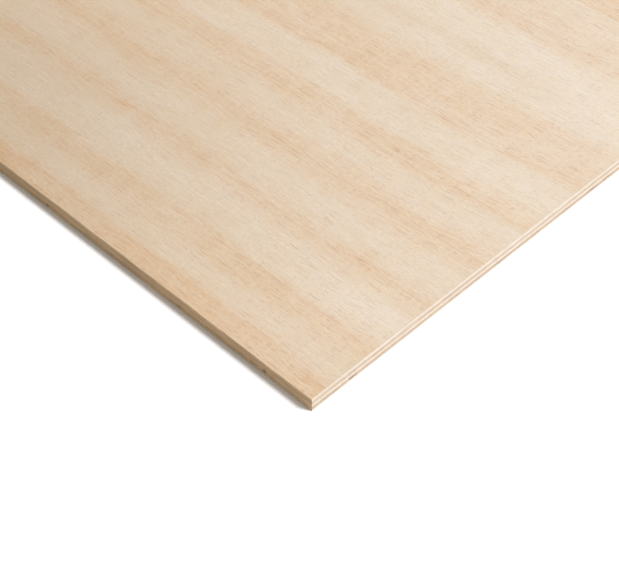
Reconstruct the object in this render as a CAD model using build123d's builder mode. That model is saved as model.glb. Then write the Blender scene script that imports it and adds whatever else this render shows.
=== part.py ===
from build123d import *
import os

# Plywood sheet, five veneers thick, in millimetres.
# X runs along the sheet's length and the grain of its face, Y across it, Z up from the back.
# The origin is in the middle of the back, which lies on the floor.

# Sheet, as trimmed
sheet_length = 2440
sheet_width = 1220
arris = 0.4  # the sanded-off corner round the face and round the back

# Thickness of each ply, from the face down
face_thickness = 1.35
upper_crossband_thickness = 2.15
core_thickness = 1.75
lower_crossband_thickness = 1.8
back_thickness = 1.45

# Inner plies are laid in pieces with open butt joints; no two joints lie over each other
joint_gap = 0.5
upper_pieces = 4
upper_first_width = 590  # from the +X end
lower_pieces = 5
lower_first_width = 300  # from the +X end
core_rows = 2
core_first_width = 585  # from the -Y edge
core_row_pieces = 2
core_first_length = 1010  # from the +X end, in the first row
core_row_stagger = 420  # how much further on each next row's joint lies

# Core gaps of the lower crossband, open on the +X end: a torn corner of the veneer, full ply
# depth at its square side and running out to nothing away from the -Y edge
corner_gap_start = 25.5  # from the -Y edge
corner_gap_mouth = 6.5
corner_gap_depth = 1.4
far_gap_start = 213
far_gap_mouth = 12
far_gap_depth = 0.9
gap_root_width = 0.9
gap_root_fillet = 0.3

# Levels of the glue lines, from the floor up
back_top = back_thickness
lower_crossband_top = back_top + lower_crossband_thickness
core_top = lower_crossband_top + core_thickness
upper_crossband_top = core_top + upper_crossband_thickness

plus_x_end = sheet_length / 2
minus_y_edge = -sheet_width / 2

os.makedirs("parts", exist_ok=True)


def lay_out(total, first, count):
    """Start and size of each piece of a row: the first one's size is given, the others share the rest."""
    other = (total - first - (count - 1) * joint_gap) / (count - 1)
    later = [(first + joint_gap + i * (other + joint_gap), other) for i in range(count - 1)]
    return [(0, first)] + later


def outline(along_x, along_y, level):
    """A veneer's outline; each span is a start and a size from the +X end or the -Y edge."""
    start_x, size_x = along_x
    start_y, size_y = along_y
    middle = (plus_x_end - start_x - size_x / 2, minus_y_edge + start_y + size_y / 2)
    with BuildSketch(Plane.XY.offset(level)) as rectangle:
        with Locations(middle):
            Rectangle(size_x, size_y)
    return rectangle.sketch


def torn_corner(start, mouth, depth, level):
    """Outline of a core gap that is open on the +X end: square on one side, slanting on the other."""
    near = minus_y_edge + start
    root = plus_x_end - depth
    with BuildSketch(Plane.XY.offset(level)) as gap:
        with BuildLine():
            Polyline(
                (plus_x_end, near),
                (root, near),
                (root, near + gap_root_width),
                (plus_x_end, near + mouth),
                close=True,
            )
        make_face()
        fillet(gap.vertices().group_by(Axis.X)[0], gap_root_fillet)
    return gap.sketch


def finish(piece, label):
    piece.part.label = label
    export_step(piece.part, f"parts/{label}.step")


full_length = (0, sheet_length)
full_width = (0, sheet_width)

# Face: one unbroken veneer with its upper edges eased
with BuildPart() as face_veneer:
    extrude(outline(full_length, full_width, upper_crossband_top), amount=face_thickness)
    chamfer(face_veneer.faces().sort_by(Axis.Z)[-1].edges(), arris)
finish(face_veneer, "face_veneer")

# Upper crossband: grain along Y, pieces laid side by side from the +X end
upper_spans = lay_out(sheet_length, upper_first_width, upper_pieces)
for number, along_x in enumerate(upper_spans, start=1):
    with BuildPart() as upper_crossband:
        extrude(outline(along_x, full_width, core_top), amount=upper_crossband_thickness)
    finish(upper_crossband, f"upper_crossband_{number}")

# Core: grain along X, rows laid from the -Y edge, each row in lengths from the +X end
core_number = 0
for row, along_y in enumerate(lay_out(sheet_width, core_first_width, core_rows)):
    first_length = core_first_length + row * core_row_stagger
    for along_x in lay_out(sheet_length, first_length, core_row_pieces):
        core_number += 1
        with BuildPart() as core_veneer:
            extrude(outline(along_x, along_y, lower_crossband_top), amount=core_thickness)
        finish(core_veneer, f"core_veneer_{core_number}")

# Lower crossband: as the upper one, with its joints elsewhere and two core gaps at the +X end
core_gaps = [
    (corner_gap_start, corner_gap_mouth, corner_gap_depth),
    (far_gap_start, far_gap_mouth, far_gap_depth),
]
lower_spans = lay_out(sheet_length, lower_first_width, lower_pieces)
for number, along_x in enumerate(lower_spans, start=1):
    with BuildPart() as lower_crossband:
        extrude(outline(along_x, full_width, back_top), amount=lower_crossband_thickness)
        if number == 1:
            for start, mouth, depth in core_gaps:
                gap = torn_corner(start, mouth, depth, back_top)
                extrude(gap, amount=lower_crossband_thickness, mode=Mode.SUBTRACT)
    finish(lower_crossband, f"lower_crossband_{number}")

# Back: one unbroken veneer with its lower edges eased
with BuildPart() as back_veneer:
    extrude(outline(full_length, full_width, 0), amount=back_thickness)
    chamfer(back_veneer.faces().sort_by(Axis.Z)[0].edges(), arris)
finish(back_veneer, "back_veneer")
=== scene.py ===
import math

import bpy
import numpy as np
from mathutils import Matrix, Vector


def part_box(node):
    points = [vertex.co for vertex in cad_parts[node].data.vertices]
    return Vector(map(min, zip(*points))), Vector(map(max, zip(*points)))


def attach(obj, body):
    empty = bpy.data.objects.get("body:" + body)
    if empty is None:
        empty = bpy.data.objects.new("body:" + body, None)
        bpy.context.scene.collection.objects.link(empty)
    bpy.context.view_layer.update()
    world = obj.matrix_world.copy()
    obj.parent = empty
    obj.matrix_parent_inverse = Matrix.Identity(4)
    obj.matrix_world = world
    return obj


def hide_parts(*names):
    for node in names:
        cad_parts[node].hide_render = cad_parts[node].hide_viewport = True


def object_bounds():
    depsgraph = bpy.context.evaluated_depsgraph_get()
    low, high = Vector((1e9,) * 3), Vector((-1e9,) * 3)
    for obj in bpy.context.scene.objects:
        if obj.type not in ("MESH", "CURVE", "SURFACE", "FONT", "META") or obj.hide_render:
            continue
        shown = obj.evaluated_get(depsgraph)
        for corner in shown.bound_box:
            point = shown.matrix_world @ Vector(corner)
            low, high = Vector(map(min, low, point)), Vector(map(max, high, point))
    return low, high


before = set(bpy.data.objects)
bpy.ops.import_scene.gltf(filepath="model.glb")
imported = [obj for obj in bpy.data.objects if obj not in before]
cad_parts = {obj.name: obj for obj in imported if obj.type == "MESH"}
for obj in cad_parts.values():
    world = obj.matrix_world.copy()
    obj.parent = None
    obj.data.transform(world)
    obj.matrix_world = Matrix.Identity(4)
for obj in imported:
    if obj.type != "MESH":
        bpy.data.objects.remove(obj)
cad_low, cad_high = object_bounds()

MM = 0.001
SEED = 9

# Sheet, from the frame: plies from the face down, and the sheet's own edges
PLIES = ("face_veneer", "upper_crossband", "core_veneer", "lower_crossband", "back_veneer")
CROSS_PLIES = ("upper_crossband", "lower_crossband")
OUTER_PLIES = ("face_veneer", "back_veneer")
LENGTH = cad_high.x - cad_low.x
WIDTH = cad_high.y - cad_low.y
NEAR_CORNER = Vector((cad_high.x, cad_low.y, cad_high.z))

# Surfaces of a veneer: its sawn edges, the sides of core gaps and hidden joints, and its caps
SAWN_KINDS = ("end", "long")
KINDS = SAWN_KINDS + ("gap", "hidden", "top", "bottom")

# Columns of points along a veneer's outline
TOLERANCE = 0.01 * MM
FINE_STEP, COARSE_STEP, HIDDEN_STEP = 1.5 * MM, 5.0 * MM, 60.0 * MM
FINE_REACH = 0.34  # how far from the near corner the fine step is used, in metres
SHORTEST_REST, LONGEST_REST = 0.4, 1.5  # of a stretch, in steps: left out, and taken as one step
GAP_SIDE = 30 * MM  # a stretch inside the sheet that is shorter is the side of a core gap
FLAT_NORMAL = 0.9  # a face whose normal is this upright is level

# Rows of points up a veneer's edge, and up the eased corner
ROWS = 5
ARRIS = 0.4 * MM
ARRIS_ROWS = 4

# Random lines
KNOTS = 20000
FIRST_KNOT = 37

# Glue lines at the edges: height in mm and spacing of the slow wave and of the ripple on it
WAVE_HEIGHT, WAVE_SPACING = 0.07, 34 * MM
RIPPLE_HEIGHT, RIPPLE_SPACING = 0.045, 8 * MM
WAVE_FADE = 12 * MM

# Saw relief, in mm, of a ply with its grain along the edge and of one with its grain across it
WORN_ALONG, WORN_ACROSS = 0.055, 0.02
ROUGH_ALONG, ROUGH_ACROSS = 0.022, 0.03
TOOTH_SPACING, SMALL_TOOTH_SPACING, SMALL_TOOTH = 3.2 * MM, 1.6 * MM, 0.6
RELIEF_FADE = 3 * MM

# Places on the picture that the materials are baked to, in shares of it. The edge lies in rows from
# the bottom up: the height that they take and their number, for outer and for inner plies
OUTER_STRIPS, INNER_STRIPS = (0.1, 12), (0.94, 8)
STRIP_SPARE, STRIP_MARGIN = 1.03, 0.08
SHOWN_CAP = (0.005, 0.115, 0.99, 0.88)  # left, bottom, width and height
HIDDEN_CAP_LEFT = {True: 0.02, False: 0.52}  # of the top and of the bottom cap
HIDDEN_CAP_WIDTH = 0.46
OUTER_HIDDEN_CAP, INNER_HIDDEN_CAP = (0.102, 0.01), (0.95, 0.045)  # bottom and height
SHARP_ANGLE = 35  # degrees


def ply_of(node):
    """The ply that a node belongs to: its name without the piece number."""
    return node.rstrip("0123456789").rstrip("_")


def smoothstep(low, high, x):
    t = np.clip((np.asarray(x, float) - low) / (high - low), 0, 1)
    return t * t * (3 - 2 * t)


def rough(s, spacing, seed):
    """Smooth random line of unit spread over the distances s, with one knot to each spacing."""
    knots = np.random.default_rng(seed).normal(0, 1, KNOTS)
    at = np.asarray(s, float) / spacing + FIRST_KNOT
    low = np.floor(at).astype(int)
    t = smoothstep(0, 1, at - low)
    return knots[low % KNOTS] * (1 - t) + knots[(low + 1) % KNOTS] * t


# Where a point lies along the sheet's edge

def edge_place(x, y):
    """Distance from the sheet's nearest edge, distance along that edge and the edge's number."""
    gaps = np.stack([y - cad_low.y, cad_high.x - x, cad_high.y - y, x - cad_low.x])
    side = gaps.argmin(0)
    along = np.where(side % 2 == 0, x - cad_low.x, y - cad_low.y)
    return gaps.min(0), along, side


def glue_line_wave(level, x, y):
    """How far the glue line at that level is off its plane, in metres; nothing inside the sheet."""
    gap, along, side = edge_place(x, y)
    wave = np.zeros_like(gap)
    for number in range(4):
        seed = SEED + 100 * level + number
        slow = WAVE_HEIGHT * rough(along, WAVE_SPACING, seed)
        line = slow + RIPPLE_HEIGHT * rough(along, RIPPLE_SPACING, seed + 50)
        wave = np.where(side == number, line, wave)
    corner = np.minimum(np.abs(np.abs(x) - cad_high.x), WAVE_FADE)
    corner = np.maximum(corner, np.minimum(np.abs(np.abs(y) - cad_high.y), WAVE_FADE))
    return wave * MM * (1 - smoothstep(0, WAVE_FADE, gap)) * smoothstep(0, WAVE_FADE, corner)


# Outlines

def outline_of(node):
    """The node's outline seen from above, counter-clockwise, from its flat top or flat bottom."""
    low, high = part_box(node)
    middle = (low.z + high.z) / 2
    want_top = node != "face_veneer"
    facing = 1 if want_top else -1
    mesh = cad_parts[node].data
    corners = [(round(v.co.x, 6), round(v.co.y, 6)) for v in mesh.vertices]
    directed = set()
    for polygon in mesh.polygons:
        if polygon.normal.z * facing > FLAT_NORMAL and (polygon.center.z > middle) == want_top:
            around = [corners[v] for v in polygon.vertices]
            directed.update(zip(around, around[1:] + around[:1]))
    following = {a: b for a, b in directed if (b, a) not in directed}
    loop = [min(following)]
    while following[loop[-1]] != loop[0]:
        loop.append(following[loop[-1]])
    return loop if want_top else loop[::-1]


def kind_of(a, b):
    """What a stretch of outline is: the sheet's end or long edge, a core gap's side, or hidden."""
    for axis, limit, kind in ((0, cad_high.x, "end"), (1, cad_high.y, "long")):
        at_edge = all(abs(abs(p[axis]) - limit) < TOLERANCE for p in (a, b))
        if at_edge and abs(a[axis] - b[axis]) < TOLERANCE:
            return kind
    return "gap" if np.linalg.norm(b - a) < GAP_SIDE else "hidden"


def step_from(p, kind):
    """Distance from one column of points to the next."""
    near = np.linalg.norm(p - np.array(NEAR_CORNER.xy)) < FINE_REACH
    if near and kind != "hidden":
        return FINE_STEP
    return COARSE_STEP if kind in SAWN_KINDS else HIDDEN_STEP


def subdivided(loop):
    """Outline columns: place, outward direction, and kind of the stretch that starts there."""
    places, outward, kinds = [], [], []
    for a, b in zip(loop, loop[1:] + loop[:1]):
        a, b = np.array(a), np.array(b)
        kind = kind_of(a, b)
        run = np.linalg.norm(b - a)
        direction = (b - a) / run
        at = 0.0
        while at < run - SHORTEST_REST * FINE_STEP:
            p = a + direction * at
            places.append(p)
            outward.append((direction[1], -direction[0]))
            kinds.append(kind)
            step = step_from(p, kind)
            rest = run - at
            at += step if rest > LONGEST_REST * step else rest
    return np.array(places), np.array(outward), kinds


# Veneer meshes

def inward(ply, places, kinds, t):
    """How far the edge lies inside the sheet's plane at height t of the ply, in metres."""
    _, along, side = edge_place(places[:, 0], places[:, 1])
    sawn = np.array([k in SAWN_KINDS for k in kinds])
    grain_along = np.array([(k == "end") == (ply in CROSS_PLIES) for k in kinds])
    seed = SEED + 1000 * PLIES.index(ply) + int(10 * t)
    worn = np.where(grain_along, WORN_ALONG, WORN_ACROSS) * math.sin(math.pi * t)
    teeth = rough(along + side, TOOTH_SPACING, seed)
    teeth = teeth + SMALL_TOOTH * rough(along, SMALL_TOOTH_SPACING, seed + 7)
    depth = worn + np.where(grain_along, ROUGH_ALONG, ROUGH_ACROSS) * np.abs(teeth)
    to_corner = (cad_high.x - np.abs(places[:, 0])) + (cad_high.y - np.abs(places[:, 1]))
    return np.where(sawn, depth, 0) * MM * smoothstep(0, RELIEF_FADE, to_corner)


def eased(places, inset):
    """The outline drawn in from the sheet's own edges."""
    inner = Vector((cad_high.x - inset, cad_high.y - inset))
    return np.clip(places, tuple(-inner), tuple(inner))


def arris_steps():
    """How far each row of the eased corner is drawn in and has risen."""
    angles = [math.pi / 2 * step / ARRIS_ROWS for step in range(1, ARRIS_ROWS + 1)]
    return [(ARRIS * (1 - math.cos(angle)), ARRIS * math.sin(angle)) for angle in angles]


def ring(places, height):
    """A row of points over those places."""
    return np.c_[places, height * np.ones(len(places))]


def edge_rows(node, places, outward, kinds):
    """Rings of points up the veneer's edge, from its bottom cap to its top one."""
    ply = ply_of(node)
    low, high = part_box(node)
    under = len(PLIES) - 1 - PLIES.index(ply)  # number of the glue line under it; 0 is the floor
    over = under + 1
    x, y = places.T
    bottom = low.z + (0 if under == 0 else glue_line_wave(under, x, y))
    top = high.z + (0 if over == len(PLIES) else glue_line_wave(over, x, y))
    low_side = bottom + (ARRIS if ply == "back_veneer" else 0)
    high_side = top - (ARRIS if ply == "face_veneer" else 0)
    rows = []
    for t in np.linspace(0, 1, ROWS):
        sawn = places - outward * inward(ply, places, kinds, t)[:, None]
        rows.append(ring(sawn, low_side + (high_side - low_side) * t))
    for drawn_in, risen in arris_steps():
        if ply == "face_veneer":
            rows.append(ring(eased(places, drawn_in), high_side + risen))
        if ply == "back_veneer":
            rows.insert(0, ring(eased(places, drawn_in), low_side - risen))
    return rows


def edge_faces(row_count, kinds, strips):
    """Faces between the rings, and their corners' places on the baked picture."""
    count = len(kinds)
    faces, uvs = [], []
    for r in range(row_count - 1):
        for i in range(count):
            j = (i + 1) % count
            faces.append((r * count + i, r * count + j, (r + 1) * count + j, (r + 1) * count + i))
            uvs += strips.corners(i, r / (row_count - 1), (r + 1) / (row_count - 1))
    return faces, uvs


def veneer_piece(node):
    """A closed mesh for one veneer: its own edges in rows, waving glue lines, and two caps."""
    ply = ply_of(node)
    places, outward, kinds = subdivided(outline_of(node))
    rows = edge_rows(node, places, outward, kinds)
    points = np.concatenate(rows)
    faces, uvs = edge_faces(len(rows), kinds, EdgeStrips(places, kinds, ply))
    surfaces = kinds * (len(rows) - 1) + ["top", "bottom"]
    count = len(places)
    last = (len(rows) - 1) * count
    faces += [tuple(range(last, last + count)), tuple(range(count - 1, -1, -1))]
    uvs += cap_corners(points[last:], ply, True)
    uvs += cap_corners(points[:count][::-1], ply, False)
    return mesh_piece(node + "_wood", ply, points, faces, surfaces, uvs)


class EdgeStrips:
    """Lays the long thin edge in rows on the picture that the materials are baked to."""

    def __init__(self, places, kinds, ply):
        taken, self.count = OUTER_STRIPS if ply in OUTER_PLIES else INNER_STRIPS
        runs = np.linalg.norm(np.roll(places, -1, 0) - places, axis=1)
        self.runs = np.where([k != "hidden" for k in kinds], runs, 0)
        self.start = np.concatenate([[0], np.cumsum(self.runs)[:-1]])
        self.row = self.runs.sum() / self.count
        self.height = taken / self.count

    def corners(self, i, t_low, t_high):
        chunk = min(int(self.start[i] / self.row), self.count - 1)
        scale = 1 / (self.row * STRIP_SPARE)
        left = (self.start[i] - chunk * self.row) * scale
        right = left + self.runs[i] * scale
        filled = 1 - 2 * STRIP_MARGIN
        low, high = (self.height * (chunk + STRIP_MARGIN + filled * t) for t in (t_low, t_high))
        return [(left, low), (right, low), (right, high), (left, high)]


def cap_corners(points, ply, top):
    """Where a cap lies on the baked picture: large if it shows, in a corner if it is hidden."""
    across = (points[:, 1] - cad_low.y) / WIDTH
    along = (points[:, 0] - cad_low.x) / LENGTH
    if (ply, top) in (("face_veneer", True), ("back_veneer", False)):
        left, low, width, height = SHOWN_CAP
        return [(left + width * a, low + height * b) for a, b in zip(across, along)]
    left = HIDDEN_CAP_LEFT[top]
    low, height = OUTER_HIDDEN_CAP if ply in OUTER_PLIES else INNER_HIDDEN_CAP
    return [(left + HIDDEN_CAP_WIDTH * b, low + height * a) for a, b in zip(across, along)]


def mesh_piece(name, ply, points, faces, kinds, uvs):
    mesh = bpy.data.meshes.new(name)
    mesh.from_pydata(points.tolist(), [], faces)
    used = [k for k in KINDS if k in kinds]
    for kind in used:
        mesh.materials.append(material_for(ply, kind))
    mesh.polygons.foreach_set("material_index", [used.index(k) for k in kinds])
    layer = mesh.uv_layers.new(name="OFBake")
    layer.data.foreach_set("uv", np.array(uvs, np.float32).ravel())
    mesh.update()
    mesh.validate()
    mesh.shade_smooth()
    mesh.set_sharp_from_angle(angle=math.radians(SHARP_ANGLE))
    mesh.polygons.foreach_set("use_smooth", [k not in ("top", "bottom") for k in kinds])
    piece = bpy.data.objects.new(name, mesh)
    bpy.context.scene.collection.objects.link(piece)
    return piece


# Materials

class Shader:
    """Builds a node material; each method adds a node and gives back its output socket."""

    def __init__(self, name):
        self.material = bpy.data.materials.new(name)
        self.material.use_nodes = True
        self.tree = self.material.node_tree

    def put(self, socket, value):
        """Links a socket to another one, or sets its value."""
        if isinstance(value, bpy.types.NodeSocket):
            self.tree.links.new(value, socket)
        else:
            socket.default_value = value

    def node(self, kind, inputs=(), **settings):
        made = self.tree.nodes.new(kind)
        for key, value in settings.items():
            setattr(made, key, value)
        for key, value in dict(inputs).items():
            self.put(made.inputs[key], value)
        return made

    def math(self, operation, a, b=0.0, c=0.0, clamp=False):
        inputs = {0: a, 1: b, 2: c}
        return self.node("ShaderNodeMath", inputs, operation=operation, use_clamp=clamp).outputs[0]

    def add_noise(self, value, noise, amount):
        """The value moved by up to half the amount either way, as the noise runs from 0 to 1."""
        return self.math("ADD", value, self.math("MULTIPLY_ADD", noise, amount, -amount / 2))

    def linear(self, value, low, high):
        inputs = {"Value": value, "From Min": low, "From Max": high}
        return self.node("ShaderNodeMapRange", inputs, clamp=True).outputs[0]

    def smooth(self, value, low, high, out_low=0.0, out_high=1.0):
        inputs = {
            "Value": value, "From Min": low, "From Max": high, "To Min": out_low, "To Max": out_high,
        }
        return self.node("ShaderNodeMapRange", inputs, interpolation_type="SMOOTHSTEP").outputs[0]

    def place(self, x, y):
        return self.node("ShaderNodeCombineXYZ", {0: x, 1: y}).outputs[0]

    def field(self, u, w, size, seed, detail=2.0, roughness=0.5):
        """Noise over two distances, in features of about that size; 0 to 1, mostly near 0.5."""
        vector = self.place(self.math("MULTIPLY_ADD", u, 1 / size[0], 7.31 * seed),
                            self.math("MULTIPLY_ADD", w, 1 / size[1], 3.17 * seed))
        inputs = {"Vector": vector, "Scale": 1.0, "Detail": detail, "Roughness": roughness}
        return self.node("ShaderNodeTexNoise", inputs, noise_dimensions="2D").outputs[0]

    def cells(self, u, w, size, seed):
        """Distance to the nearest cell's point, and two random numbers of that cell."""
        vector = self.place(self.math("MULTIPLY_ADD", u, 1 / size[0], 5.77 * seed),
                            self.math("MULTIPLY_ADD", w, 1 / size[1], 9.13 * seed))
        inputs = {"Vector": vector, "Scale": 1.0, "Randomness": 1.0}
        made = self.node("ShaderNodeTexVoronoi", inputs, voronoi_dimensions="2D")
        lots = self.node("ShaderNodeSeparateColor", {0: made.outputs["Color"]}).outputs
        return made.outputs["Distance"], lots[0], lots[1]

    def curve(self, value, points, low, high, top):
        """A drawn curve through (place, value) points between low and high; top is its limit."""
        made = self.node("ShaderNodeFloatCurve", {"Value": self.linear(value, low, high)})
        line = made.mapping.curves[0]
        scaled = [((p - low) / (high - low), v / top) for p, v in points]
        while len(line.points) < len(scaled):
            line.points.new(0.5, 0.5)
        for point, (x, y) in zip(line.points, scaled):
            point.location = (x, y)
            point.handle_type = "AUTO_CLAMPED"
        made.mapping.update()
        return self.math("MULTIPLY", made.outputs[0], top)

    def mix(self, factor, a, b, blend="MIX"):
        made = self.node("ShaderNodeMix", data_type="RGBA", blend_type=blend)
        for number, value in ((0, factor), (6, a), (7, b)):
            self.put(made.inputs[number], value)
        return made.outputs[2]

    def shade(self, colour, amount, low, high):
        """Colour made darker or lighter: amount 0..1 gives a factor from low to high."""
        inputs = {"Value": amount, "To Min": low, "To Max": high}
        factor = self.node("ShaderNodeMapRange", inputs).outputs[0]
        grey = self.node("ShaderNodeCombineColor", {0: factor, 1: factor, 2: factor}).outputs[0]
        return self.mix(1.0, colour, grey, "MULTIPLY")

    def tint(self, colour, amount, tints):
        """Colour multiplied by a tint that runs from the first to the second with the amount."""
        low, high = tints
        return self.mix(1.0, colour, self.mix(amount, (*low, 1.0), (*high, 1.0)), "MULTIPLY")

    def finish(self, colour, roughness, bump_height, bump_size, specular):
        inputs = {"Height": bump_height, "Strength": 1.0, "Distance": bump_size}
        surface = self.tree.nodes["Principled BSDF"].inputs
        self.put(surface["Base Color"], colour)
        self.put(surface["Roughness"], roughness)
        self.put(surface["Specular IOR Level"], specular)
        self.put(surface["Normal"], self.node("ShaderNodeBump", inputs).outputs[0])
        return self.material


def srgb(r, g, b):
    """A colour written as on a screen, 0 to 255, as the linear one that a shader wants."""
    linear = [c / 255 / 12.92 if c <= 10 else ((c / 255 + 0.055) / 1.055) ** 2.4 for c in (r, g, b)]
    return (*linear, 1.0)


def place_in_mm(s):
    """Distances in millimetres from the near corner: along the length (negative), across and up."""
    coordinates = s.node("ShaderNodeTexCoord").outputs["Object"]
    separate = s.node("ShaderNodeSeparateXYZ", {0: coordinates}).outputs
    x = s.math("MULTIPLY_ADD", separate[0], 1 / MM, -NEAR_CORNER.x / MM)
    y = s.math("MULTIPLY_ADD", separate[1], 1 / MM, -NEAR_CORNER.y / MM)
    z = s.math("MULTIPLY", separate[2], 1 / MM)
    return x, y, z


# Growth rings of the face near its corner, across the sheet in mm from the near long edge. The ring
# number rises and falls as the knife runs into and out of the rings; a growth line lies at each whole
# number, with warm wood on the side of the higher number.
RING_LINES = (
    (-20, 6.7), (13, 6.0), (45, 5.0), (86, 4.0), (126, 3.0), (161.5, 2.0), (168, 1.0), (183, 0.72),
    (202, 1.0), (297, 2.0), (340, 2.25),
)
# Stretches between those lines: how warm the wood gets, the share of the ring that is warm, the
# part of that share that is evenly warm before it fades, and the share where the wood turns warm
# again before the next line
RING_BANDS = (
    (-20, 12, 0.72, 1.0, 0.6, 0.8), (14, 44, 0.48, 0.72, 0.4, 0.8),
    (47, 85, 0.5, 0.44, 0.0, 0.78), (88, 125, 0.6, 0.55, 0.0, 0.72),
    (128, 160.5, 0.62, 0.45, 0.0, 0.46), (162.5, 168, 0.42, 1.6, 0.5, 0.6),
    (180, 290, 0.45, 0.5, 0.76, 0.9), (299, 340, 0.42, 0.42, 0.1, 0.7),
)
RINGS_LOW, RINGS_HIGH = -20.0, 340.0  # the stretch of those two tables
RING_LIMIT, BAND_LIMIT = 8.0, 2.0  # greatest values that their curves can hold
# Further off: the range that each of the four band values drifts in, the size of that drift, and the
# distance over which the ring number swings up and down
FAR_BANDS = ((0.35, 0.75), (0.35, 0.65), (0.0, 0.7), (0.65, 0.85))
FAR_BAND_SIZE = (900.0, 90.0)
FAR_RING_PERIOD = 760.0
FAR_RING_SWING = 5.5
NEAR_ZONE = 330.0  # mm from the near corner where the figure lies as placed above
AWAY_ACROSS, AWAY_ALONG = 1.7, 2.0  # in zones: from where none of that is left

# Broad whiter (below 0) and darker patches near the corner: middle, half length, half width, tone
FACE_CLOUDS = (
    (-30, 178, 90, 22, -0.14), (-20, 60, 60, 34, -0.3), (-215, 236, 80, 18, 0.18),
    (-195, 252, 80, 9, 0.3), (-110, 258, 80, 9, 0.3), (-25, 275, 60, 36, -0.24),
    (-260, 142, 150, 18, 0.12), (-140, 278, 190, 24, -0.2), (-180, 66, 110, 16, -0.12),
    (-300, 45, 70, 14, -0.28), (-325, 98, 60, 34, -0.14), (-230, 0, 110, 16, 0.34),
    (-215, 46, 120, 44, -0.12),
)
# Tone near the corner where no patch lies, its change for each mm along and across, and the extra tone
# of a strip by the long edge. The change along and across is partly the wood's own tone and partly
# painted shade: darker away from the near end and towards the long edge, where the light falls off
NEAR_TONE, TONE_AND_SHADE_ALONG, TONE_AND_SHADE_ACROSS, EDGE_STRIP_TONE = 0.52, -0.0022, -0.0024, 0.09

# Painted shade, darker along the long edge where the light falls off: where it sets in and is full,
# where it has faded and is full
PAINTED_SHADE_START, PAINTED_SHADE_END = (-20.0, -330.0), (-1300.0, -500.0)
FACE_PAINTED_SHADE, EDGE_PAINTED_SHADE = 0.84, 0.83
PAINTED_SHADE_WIDTH = (220.0, 10.0)

# Sizes of the figure's parts, in mm along the grain and across it
WANDER_SIZE, BEND_SIZE, LOOP_SIZE = (430.0, 150.0), (60.0, 20.0), (620.0, 120.0)
FEATHER_SIZE, KINK_SIZE = (30.0, 0.9), (8.0, 5.0)
STREAK_SIZE, PATCH_SIZE, CLOUD_SIZE = (55.0, 1.9), (110.0, 25.0), (45.0, 14.0)
TONE_SIZE, HUE_SIZE = (520.0, 210.0), (7.0, 1.5)
HAIR_SIZE, HAIR_GROUP_SIZE = (24.0, 0.5), (22.0, 6.0)
THREAD_SIZE, SHORT_VESSEL, LONG_VESSEL = (11.0, 0.34), (4.8, 0.46), (17.0, 0.46)
FIBRE_SIZE, SPECKLE_SIZE = (20.0, 0.43), (2.6, 0.42)

# The figure is level near the long edge and askew by that slope further in. In the stretch next to
# the end it turns up by so many mm
LEVEL_TO, ASKEW_FROM, ASKEW_SLOPE = 20.0, 160.0, 0.03
TURN_FROM, TURN_TO, TURN_UP = -95.0, 10.0, 5.0
# How far the figure moves across the grain, in mm, and the growth lines in rings. Of the wander and
# the loops, the first is near the corner and the second is added away from it
WANDER, BEND, FEATHER, KINK = (4.0, 12.0), 4.5, 9.0, 1.5
LOOPS = (0.04, 2.6)
# How fast the warm wood fades on each side of a growth line, and its strength on the pale side
WARM_FADE, PALE_FADE, PALE_STRENGTH = 1.25, 1.6, 0.85

# Part of a noise's range over which a change runs
SPREAD, NARROW_SPREAD = (0.2, 0.8), (0.3, 0.7)

# Tints at the two ends of each change of colour
CLOUD_TINTS = (0.99, 0.98, 0.955), (1.005, 1.01, 1.02)
TONE_TINTS = (1.022, 1.076, 1.125), (0.912, 0.889, 0.827)
HUE_TINTS = (1.008, 0.999, 0.972), (0.992, 1.001, 1.028)
FIBRE_TINTS = (0.944, 0.892, 0.85), (1.038, 1.074, 1.106)
SPECKLE_TINTS = (0.965, 0.936, 0.9), (1.035, 1.064, 1.1)

HAIR_STRENGTH, PORE_STRENGTH = 0.47, 0.85  # how far hairs and vessels cover the wood at most
# Strength of the threads, share of cells with a vessel and its strength: in pale wood, and what warm
# wood adds. The share of short vessels is less by a factor
THREADS, VESSEL_SHARE, VESSEL_STRENGTH = (0.12, 0.2), (0.12, 0.3), (0.42, 0.22)
SHORT_VESSELS = 0.75
STROKE_EDGE, STROKE_CORE = 0.42, 0.1  # distance from a cell's point, in cells
FACE_BUMP, FACE_SPECULAR = 0.035 * MM, 0.3
FACE_ROUGHNESS, VESSEL_ROUGHNESS = (0.62, 0.53), 0.18


def strokes(s, x, v, size, seed, presence):
    """Short strokes along the grain; presence is the share of cells that hold one."""
    distance, lot, depth = s.cells(x, v, size, seed)
    there = s.math("MULTIPLY", s.math("LESS_THAN", lot, presence), s.smooth(depth, -0.5, 1.0))
    return s.math("MULTIPLY", s.smooth(distance, STROKE_EDGE, STROKE_CORE), there)


def away_from_near_corner(s, x, y):
    """0 in the zone by the near corner, 1 well outside it."""
    across = s.smooth(y, NEAR_ZONE, AWAY_ACROSS * NEAR_ZONE)
    return s.math("MAXIMUM", across, s.smooth(x, -NEAR_ZONE, -AWAY_ALONG * NEAR_ZONE))


def painted_shade_zone(s, x):
    """Painted shade: a darker stretch of the sheet along its near long edge, where the light falls
    off, 0 to 1.
    """
    return s.math("MULTIPLY", s.smooth(x, *PAINTED_SHADE_START), s.smooth(x, *PAINTED_SHADE_END))


def near_or_far(s, v, near, far):
    """The near value up to the end of the near rings, the far one beyond."""
    beyond = s.math("GREATER_THAN", v, RINGS_HIGH)
    return s.math("MULTIPLY_ADD", s.math("SUBTRACT", far, near), beyond, near)


def ring_number(s, v):
    near = s.curve(v, RING_LINES, RINGS_LOW, RINGS_HIGH, RING_LIMIT)
    angle = 2 * math.pi / FAR_RING_PERIOD
    turn = s.math("COSINE", s.math("MULTIPLY_ADD", v, angle, -angle * RINGS_HIGH))
    half_swing = FAR_RING_SWING / 2
    far = s.math("MULTIPLY_ADD", turn, -half_swing, RING_LINES[-1][1] + half_swing)
    return near_or_far(s, v, near, far)


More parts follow.
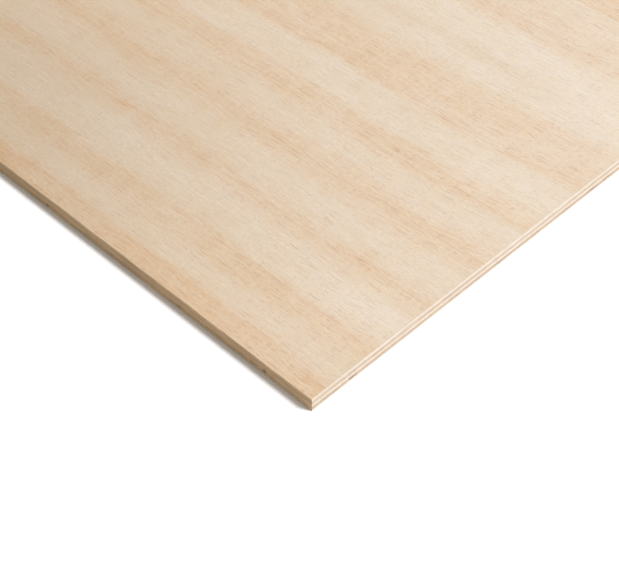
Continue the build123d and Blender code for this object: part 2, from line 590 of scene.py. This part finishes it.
def ring_band_values(s, x, v, seed):
    """Warmth, warm share, even part and turning share of the ring at v."""
    values = []
    for column, (least, most) in enumerate(FAR_BANDS, start=2):
        points = [(band[side], band[column]) for band in RING_BANDS for side in (0, 1)]
        near = s.curve(v, points, RINGS_LOW, RINGS_HIGH, BAND_LIMIT)
        drift = s.field(x, v, FAR_BAND_SIZE, seed + 10.0 * column)
        values.append(near_or_far(s, v, near, s.smooth(drift, *NARROW_SPREAD, least, most)))
    return values


def bent_across(s, x, y):
    """Distance across the grain: the figure runs slightly askew, and turns up close to the end."""
    turned = s.smooth(x, TURN_FROM, TURN_TO, 0.0, TURN_UP)
    askew = s.math("MULTIPLY_ADD", x, ASKEW_SLOPE, turned)
    return s.math("SUBTRACT", y, s.math("MULTIPLY", s.linear(y, LEVEL_TO, ASKEW_FROM), askew))


def rising(s, amount, values):
    """The first value, and the second one added as the amount goes from 0 to 1."""
    return s.math("MULTIPLY_ADD", amount, values[1], values[0])


def wandering_across(s, x, y, seed, away):
    """Distance across the grain with the slow wander of the rings, wider away from the corner."""
    wander = s.math("SUBTRACT", s.field(x, y, WANDER_SIZE, seed, detail=1.5), 0.5)
    wander = s.math("MULTIPLY", wander, rising(s, away, WANDER))
    v = s.math("ADD", bent_across(s, x, y), wander)
    return s.add_noise(v, s.field(x, y, BEND_SIZE, seed + 1.9), BEND)


def veneer_figure(s, x, y, seed, away):
    """Place in the growth rings: distance across, share of the ring passed, and its warm band 0..1."""
    v = wandering_across(s, x, y, seed, away)
    feather = s.field(x, v, FEATHER_SIZE, seed + 7.7, detail=3.0, roughness=0.6)
    number = ring_number(s, s.add_noise(v, feather, FEATHER))
    loops = s.math("SUBTRACT", s.field(x, y, LOOP_SIZE, seed + 3.1), 0.5)
    number = s.math("ADD", number, s.math("MULTIPLY", loops, rising(s, away, LOOPS)))
    share = s.math("FRACT", number)
    warmth, reach, hold, turn = ring_band_values(s, x, v, seed + 4.0)
    fade = s.linear(s.math("DIVIDE", share, reach), 1.0, hold)
    fade = s.math("POWER", fade, WARM_FADE)
    warm_side = s.math("MULTIPLY", fade, s.smooth(share, 0.0, 0.05, 0.8, 1.0))
    rise = s.math("POWER", s.linear(share, turn, 1.0), PALE_FADE)
    pale_side = s.math("MULTIPLY", rise, PALE_STRENGTH)
    band = s.math("MULTIPLY", s.math("MAXIMUM", warm_side, pale_side), warmth)
    return v, share, band


def streaked(s, x, v, band, seed):
    """The warm band broken up by streaks and patches."""
    streaks = s.field(x, v, STREAK_SIZE, seed + 5.3, detail=3.0, roughness=0.6)
    patches = s.field(x, v, PATCH_SIZE, seed + 8.0)
    band = s.math("MULTIPLY", band, s.smooth(streaks, *SPREAD, 0.62, 1.34))
    return s.math("MULTIPLY", band, s.smooth(patches, 0.25, 0.7, 0.7, 1.2), clamp=True)


def slow_tone(s, x, y, seed, away):
    """The sheet's slow change from whiter, 0, to warmer and darker wood, 1; near the corner its slope
    is partly painted shade.
    """
    broad = s.smooth(s.field(x, y, TONE_SIZE, seed), *NARROW_SPREAD, 0.2, 1.1)
    near = s.math("MULTIPLY_ADD", y, TONE_AND_SHADE_ACROSS, NEAR_TONE)
    near = s.math("MULTIPLY_ADD", x, TONE_AND_SHADE_ALONG, near)
    near = s.math("ADD", near, s.smooth(y, 48.0, 26.0, 0.0, EDGE_STRIP_TONE))
    for middle_x, middle_y, half_length, half_width, change in FACE_CLOUDS:
        along = s.math("MULTIPLY_ADD", x, 1 / half_length, -middle_x / half_length)
        across = s.math("MULTIPLY_ADD", y, 1 / half_width, -middle_y / half_width)
        distance = s.node("ShaderNodeVectorMath", {0: s.place(along, across)}, operation="LENGTH")
        near = s.math("ADD", near, s.smooth(distance.outputs["Value"], 1.0, 0.0, 0.0, change))
    return s.math("ADD", near, s.math("MULTIPLY", away, s.math("SUBTRACT", broad, near)))


def growth_hairs(s, x, v, share, seed):
    """Broken dark lines close behind each growth line, and a few elsewhere, 0..1."""
    lines = s.smooth(s.field(x, v, HAIR_SIZE, seed, detail=3.0, roughness=0.55), 0.5, 0.7)
    close = s.math("MULTIPLY", s.smooth(share, 0.15, 0.01), s.smooth(share, -0.01, 0.01))
    close = s.math("MAXIMUM", close, s.smooth(share, 0.975, 1.0, 0.0, 0.8))
    present = s.smooth(s.field(x, v, HAIR_GROUP_SIZE, seed + 1.7), 0.36, 0.58, 0.25, 1.0)
    return s.math("MULTIPLY", lines, s.math("MULTIPLY_ADD", close, present, 0.06), clamp=True)


def vessel_marks(s, x, v, band, seed):
    """Vessels, and how dark they and the fine threads are; both are thicker set in the warm wood."""
    thread = s.field(x, v, THREAD_SIZE, seed + 14.0, roughness=0.6)
    thread = s.math("MULTIPLY", s.smooth(thread, 0.46, 0.3), rising(s, band, THREADS))
    presence = rising(s, band, VESSEL_SHARE)
    fewer = s.math("MULTIPLY", presence, SHORT_VESSELS)
    short = strokes(s, x, v, SHORT_VESSEL, seed + 21.0, fewer)
    vessels = s.math("MAXIMUM", short, strokes(s, x, v, LONG_VESSEL, seed + 33.0, presence))
    dark = s.math("MULTIPLY_ADD", vessels, rising(s, band, VESSEL_STRENGTH), thread)
    return vessels, s.math("MINIMUM", dark, PORE_STRENGTH)


def broad_colour(s, x, y, colour, seed, away, with_painted_shade):
    """Clouds of warmer and of whiter wood, the sheet's slow change of tone, and the painted shade
    along its long edge.
    """
    cloud = s.smooth(s.field(x, y, CLOUD_SIZE, seed + 9.0), *NARROW_SPREAD)
    colour = s.tint(colour, cloud, CLOUD_TINTS)
    tone = s.math("MULTIPLY_ADD", slow_tone(s, x, y, seed + 12.0, away), 0.8, 0.2)
    colour = s.tint(colour, tone, TONE_TINTS)
    if not with_painted_shade:
        return colour
    # Painted shade: the face darker along the near long edge, where the light falls off
    painted_shade = s.math("MULTIPLY", painted_shade_zone(s, x), s.smooth(y, *PAINTED_SHADE_WIDTH))
    return s.shade(colour, painted_shade, 1.0, FACE_PAINTED_SHADE)


def veneer_material(name, seed, wood, loose=False):
    """Rotary-cut veneer seen flat, its grain along X; a loose one has no tone placed near the corner
    and no painted shade.
    """
    pale, warm, line, core, pore = wood
    s = Shader(name)
    x, y, _ = place_in_mm(s)
    away = 1.0 if loose else away_from_near_corner(s, x, y)
    v, share, band = veneer_figure(s, x, y, seed, away)
    v = s.add_noise(v, s.field(x, y, KINK_SIZE, seed + 17.0, detail=1.0), KINK)
    band = streaked(s, x, v, band, seed)
    colour = broad_colour(s, x, y, s.mix(band, pale, warm), seed, away, not loose)
    # Growth hairs: orange, with a darker core where they are strong
    hairs = growth_hairs(s, x, v, share, seed + 2.7)
    hair_wood = s.mix(s.smooth(hairs, 0.4, 1.0), line, core)
    colour = s.mix(s.math("MULTIPLY", hairs, HAIR_STRENGTH), colour, hair_wood)
    vessels, dark = vessel_marks(s, x, v, band, seed)
    colour = s.mix(dark, colour, pore)
    # Fine change of hue, then fibres and speckle
    hue = s.field(x, v, HUE_SIZE, seed + 26.0, detail=1.0)
    colour = s.tint(colour, s.smooth(hue, 0.25, 0.75), HUE_TINTS)
    fibre = s.field(x, v, FIBRE_SIZE, seed + 1.0, detail=3.0, roughness=0.65)
    colour = s.tint(colour, s.smooth(fibre, *SPREAD), FIBRE_TINTS)
    speckle = s.field(x, v, SPECKLE_SIZE, seed + 6.0, detail=1.0)
    colour = s.tint(colour, s.smooth(speckle, *SPREAD), SPECKLE_TINTS)
    # Open vessels lie deeper, and they and coarse fibres are rougher than the sanded wood
    height = s.math("SUBTRACT", s.math("MULTIPLY", fibre, 0.5), s.math("MULTIPLY", vessels, 0.8))
    roughness = s.smooth(fibre, *SPREAD, *FACE_ROUGHNESS)
    roughness = s.math("MULTIPLY_ADD", vessels, VESSEL_ROUGHNESS, roughness)
    return s.finish(colour, roughness, height, FACE_BUMP, FACE_SPECULAR)


# Sawn edges: length of the fine grain in mm and its shades, across the grain and along it
CROSS_GRAIN, LONG_GRAIN = (1.4, 0.92, 1.07), (15.0, 0.87, 1.12)
FINE_HEIGHT, PIT_HEIGHT = 0.45, 0.8
CROSS_PIT, LONG_PIT = 2.2, 7.0
PIT_SHARE, PIT_STRENGTH = 0.2, 0.5
SLOW_SIZE, STAIN_SIZE = (30.0, 6.0), (9.0, 9.0)
# Saw marks and stains that run over the plies: size, seed and tints, on long edges and on ends
LONG_MOTTLE = (24.0, 2.2), 1.0, ((0.92,) * 3, (1.08,) * 3)
END_MOTTLE = (6.5, 9.0), 2.0, ((0.97,) * 3, (1.03,) * 3)
MOTTLE_LEAN = 0.5
EDGE_BUMP, INSIDE_BUMP, SAWN_SPECULAR = 0.08 * MM, 0.1 * MM, 0.2
EDGE_ROUGHNESS, INSIDE_ROUGHNESS = (0.86, 0.74), (0.62, 0.78)


def stretch(s, along, start, end, soft=0.7):
    """1 between two places along an edge, 0 outside, with soft ends."""
    begun = s.smooth(along, start - soft, start + soft)
    return s.math("MULTIPLY", begun, s.smooth(along, end + soft, end - soft))


def edge_marks(s, shown, along, marks):
    """Single stains and splinters of an edge: start, end, colour and strength of each."""
    for start, end, colour, strength in marks:
        shown = s.mix(s.math("MULTIPLY", stretch(s, along, start, end), strength), shown, colour)
    return shown


def edge_material(name, seed, colour, dark, cross_grain, along_x, marks):
    """Sawn edge of one ply. Along the grain it is streaked; across the grain it is fine and pitted."""
    s = Shader(name)
    x, y, z = place_in_mm(s)
    along = x if along_x else y
    slow = s.field(along, z, SLOW_SIZE, seed, detail=1.0)
    shown = s.mix(s.smooth(slow, 0.35, 0.75, 0.05, 0.3), colour, dark)
    fine_length, low, high = CROSS_GRAIN if cross_grain else LONG_GRAIN
    fine = s.field(along, z, (fine_length, FINE_HEIGHT), seed + 1.0, detail=3.0, roughness=0.6)
    shown = s.shade(shown, s.smooth(fine, *SPREAD), low, high)
    size, mottle_seed, tints = LONG_MOTTLE if along_x else END_MOTTLE
    leaning = s.math("MULTIPLY_ADD", z, MOTTLE_LEAN, along)
    mottle = s.field(leaning, z, size, mottle_seed)
    shown = s.tint(shown, s.smooth(mottle, *NARROW_SPREAD), tints)
    shown = edge_marks(s, shown, s.math("MULTIPLY", x, -1.0) if along_x else y, marks)
    # Painted shade: the long edge darker away from the near end, as on the face
    if along_x:
        shown = s.shade(shown, painted_shade_zone(s, x), 1.0, EDGE_PAINTED_SHADE)
    pit_size = (CROSS_PIT if cross_grain else LONG_PIT, PIT_HEIGHT)
    pits = strokes(s, along, z, pit_size, seed + 4.0, PIT_SHARE)
    shown = s.mix(s.math("MULTIPLY", pits, PIT_STRENGTH), shown, dark)
    height = s.math("SUBTRACT", s.math("MULTIPLY", fine, 0.6), pits)
    roughness = s.smooth(fine, *SPREAD, *EDGE_ROUGHNESS)
    return s.finish(shown, roughness, height, EDGE_BUMP, SAWN_SPECULAR)


def inside_material(name):
    """Wood on the hidden sides of the veneers, stained by glue, seen only in joints and core gaps."""
    s = Shader(name)
    x, y, z = place_in_mm(s)
    stain = s.field(x, s.math("ADD", y, z), STAIN_SIZE, 1.0, detail=3.0)
    colour = s.mix(s.smooth(stain, *NARROW_SPREAD), BARE_WOOD, GLUED_WOOD)
    roughness = s.smooth(stain, *NARROW_SPREAD, *INSIDE_ROUGHNESS)
    return s.finish(colour, roughness, stain, INSIDE_BUMP, SAWN_SPECULAR)


# Wood of the two faces: pale, warm, growth line, its core and pore
FACE_WOOD = (
    srgb(234, 215, 194), srgb(231, 200, 167), srgb(213, 153, 92), srgb(196, 140, 88),
    srgb(190, 139, 98),
)
BACK_WOOD = (
    srgb(230, 206, 183), srgb(222, 185, 150), srgb(186, 130, 84), srgb(166, 116, 78),
    srgb(170, 118, 78),
)
BARE_WOOD, GLUED_WOOD = srgb(209, 192, 171), srgb(187, 162, 138)
# Sawn edges: each ply's wood, and its darker streaks and pits
END_COLOURS = {
    "face_veneer": (srgb(232, 222, 208), srgb(212, 190, 168)),
    "upper_crossband": (srgb(218, 197, 175), srgb(196, 163, 136)),
    "core_veneer": (srgb(234, 225, 213), srgb(212, 192, 172)),
    "lower_crossband": (srgb(211, 184, 158), srgb(184, 150, 122)),
    "back_veneer": (srgb(227, 214, 198), srgb(206, 184, 160)),
}
# On the long edge the upper plies are painted darker and the lower ones lighter, the back veneer most:
# painted light against the shade at the foot of the edge, beside the floor's shadow. The rest is each
# ply's own wood.
LONG_COLOURS = {
    "face_veneer": (srgb(229, 197, 157), srgb(206, 168, 126)),
    "upper_crossband": (srgb(218, 184, 145), srgb(189, 150, 110)),
    "core_veneer": (srgb(228, 194, 152), srgb(201, 164, 122)),
    "lower_crossband": (srgb(221, 186, 142), srgb(185, 147, 104)),
    "back_veneer": (srgb(242, 209, 161), srgb(210, 173, 127)),
}
# Marks near the corner, in mm from it along the edge: start, end, colour and strength
DARK_STAIN, WARM_STAIN, PALE_SPLINTER = srgb(120, 92, 66), srgb(206, 164, 126), srgb(232, 220, 206)
LIGHT_PATCH = srgb(246, 214, 172)
END_MARKS = {
    "face_veneer": ((-2.0, 23.0, WARM_STAIN, 0.12),),
    "upper_crossband": (
        (-2.0, 23.0, WARM_STAIN, 0.12), (29.4, 30.8, DARK_STAIN, 0.12),
        (42.5, 51.0, WARM_STAIN, 0.35),
    ),
    "lower_crossband": ((24.3, 26.0, PALE_SPLINTER, 0.5), (226.0, 227.2, PALE_SPLINTER, 0.3)),
}
LONG_MARKS = {
    "core_veneer": ((-2.0, 27.0, LIGHT_PATCH, 0.25), (32.8, 34.8, DARK_STAIN, 0.35)),
    "lower_crossband": (
        (-2.0, 27.0, LIGHT_PATCH, 0.22), (32.6, 35.2, DARK_STAIN, 0.7),
        (39.0, 45.0, DARK_STAIN, 0.3), (49.5, 52.5, DARK_STAIN, 0.2),
        (55.0, 58.5, DARK_STAIN, 0.15), (65.5, 70.5, DARK_STAIN, 0.22),
        (73.0, 77.5, DARK_STAIN, 0.1), (97.0, 100.0, DARK_STAIN, 0.35),
        (151.0, 153.5, DARK_STAIN, 0.3), (206.0, 208.5, DARK_STAIN, 0.7),
    ),
}
FACE_SEED, BACK_SEED = 2.0, 71.0
ready_materials = {}


def made_material(ply, kind):
    """A new material, for a ply's sawn edge or for one of the kinds that all plies share."""
    seed = 3.0 + 11.0 * PLIES.index(ply)
    crossband = ply in CROSS_PLIES
    if kind == "inside":
        return inside_material("glued_side")
    if kind == "face":
        return veneer_material("face_wood", FACE_SEED, FACE_WOOD)
    if kind == "back":
        return veneer_material("back_wood", BACK_SEED, BACK_WOOD, loose=True)
    if kind == "end":
        colours, marks = END_COLOURS[ply], END_MARKS.get(ply, ())
        return edge_material(ply + "_end", seed, *colours, not crossband, False, marks)
    colours, marks = LONG_COLOURS[ply], LONG_MARKS.get(ply, ())
    return edge_material(ply + "_side", seed + 5, *colours, crossband, True, marks)


def material_for(ply, kind):
    """The material of a ply's end edge, long edge, top, bottom, or what is glued or hidden."""
    if kind not in SAWN_KINDS:
        shown = {("face_veneer", "top"): "face", ("back_veneer", "bottom"): "back"}
        kind = shown.get((ply, kind), "inside")
    key = (ply, kind) if kind in SAWN_KINDS else kind
    if key not in ready_materials:
        ready_materials[key] = made_material(ply, kind)
    return ready_materials[key]


# Camera and studio

CAMERA_AZIMUTH, CAMERA_ELEVATION, CAMERA_ROLL = 46.425, 46.545, -1.67  # degrees
CAMERA_FROM_CORNER = Vector((0.39781, -0.37775, 0.66373))
PICTURE_WIDTH, FOCAL_PIXELS, SENSOR = 619, 1751.6, 36.0
CLIP_START, CLIP_END = 0.05, 100
SKY_LIGHT, KEY_LIGHT, SOFTBOX_POWER = 0.28, 2.5, 3.6
KEY_DIRECTION, KEY_DISTANCE, KEY_ANGLE = (0.58, 0.30, 0.755), 5, 16  # the angle in degrees
SOFTBOX_PLACE, SOFTBOX_SIZE = (0.76, 0.47, 0.9), 0.7  # from the near corner
FLOOR_BOUNCE, FLOOR_SHOWN = 0.75, 1.15
FLOOR_HALF, FLOOR_BELOW = 60.0, 0.15 * MM


def studio_camera():
    azimuth, elevation, roll = (
        math.radians(a) for a in (CAMERA_AZIMUTH, CAMERA_ELEVATION, CAMERA_ROLL)
    )
    level = math.cos(elevation)
    back = Vector((math.sin(azimuth) * level, -math.cos(azimuth) * level, math.sin(elevation)))
    right = Vector((0, 0, 1)).cross(back).normalized()
    up = back.cross(right)
    rolled_right = math.cos(roll) * right + math.sin(roll) * up
    rolled_up = -math.sin(roll) * right + math.cos(roll) * up
    data = bpy.data.cameras.new("camera")
    data.sensor_width = SENSOR
    data.lens = FOCAL_PIXELS / PICTURE_WIDTH * SENSOR
    data.clip_start, data.clip_end = CLIP_START, CLIP_END
    camera = bpy.data.objects.new("camera", data)
    rotation = Matrix((rolled_right, rolled_up, back)).transposed()
    camera.matrix_world = Matrix.Translation(NEAR_CORNER + CAMERA_FROM_CORNER) @ rotation.to_4x4()
    bpy.context.scene.collection.objects.link(camera)
    bpy.context.scene.camera = camera


def shown_rays(tree):
    """1 for the rays that show a background as it is: camera, glossy and transmission rays."""
    rays = tree.nodes.new("ShaderNodeLightPath").outputs
    together = rays["Is Camera Ray"]
    for name in ("Is Glossy Ray", "Is Transmission Ray"):
        most = tree.nodes.new("ShaderNodeMath")
        most.operation = "MAXIMUM"
        tree.links.new(together, most.inputs[0])
        tree.links.new(rays[name], most.inputs[1])
        together = most.outputs[0]
    return together


def floor():
    half = FLOOR_HALF
    corners = [(-half, -half), (half, -half), (half, half), (-half, half)]
    mesh = bpy.data.meshes.new("floor")
    mesh.from_pydata([(x, y, -FLOOR_BELOW) for x, y in corners], [], [(0, 1, 2, 3)])
    s = Shader("floor")
    lit = s.mix(shown_rays(s.tree), (FLOOR_BOUNCE,) * 3 + (1,), (FLOOR_SHOWN,) * 3 + (1,))
    diffuse = s.node("ShaderNodeBsdfDiffuse", {"Color": lit})
    s.put(s.tree.nodes["Material Output"].inputs["Surface"], diffuse.outputs[0])
    mesh.materials.append(s.material)
    made = bpy.data.objects.new("floor", mesh)
    bpy.context.scene.collection.objects.link(made)


def lamp(name, kind, place, target, energy, **settings):
    data = bpy.data.lights.new(name, kind)
    data.energy = energy
    for key, value in settings.items():
        setattr(data, key, value)
    made = bpy.data.objects.new(name, data)
    made.location = place
    made.rotation_euler = (Vector(place) - Vector(target)).to_track_quat("Z", "Y").to_euler()
    bpy.context.scene.collection.objects.link(made)


def studio_light():
    world = bpy.data.worlds.new("studio")
    bpy.context.scene.world = world
    world.use_nodes = True
    tree = world.node_tree
    background = tree.nodes["Background"]
    strength = tree.nodes.new("ShaderNodeMapRange")
    strength.inputs["To Min"].default_value = SKY_LIGHT
    strength.inputs["To Max"].default_value = 1.0
    tree.links.new(shown_rays(tree), strength.inputs["Value"])
    tree.links.new(strength.outputs[0], background.inputs["Strength"])
    background.inputs["Color"].default_value = (1, 1, 1, 1)
    key_place = Vector(KEY_DIRECTION) * KEY_DISTANCE
    lamp("key", "SUN", key_place, (0, 0, 0), KEY_LIGHT, angle=math.radians(KEY_ANGLE))
    softbox_place = NEAR_CORNER + Vector(SOFTBOX_PLACE)
    lamp("softbox", "AREA", softbox_place, NEAR_CORNER, SOFTBOX_POWER, shape="SQUARE",
         size=SOFTBOX_SIZE)


for node in sorted(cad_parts):
    piece = veneer_piece(node)
    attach(piece, "root")
    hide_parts(node)

studio_camera()
floor()
studio_light()
bpy.context.scene.view_settings.view_transform = "Standard"
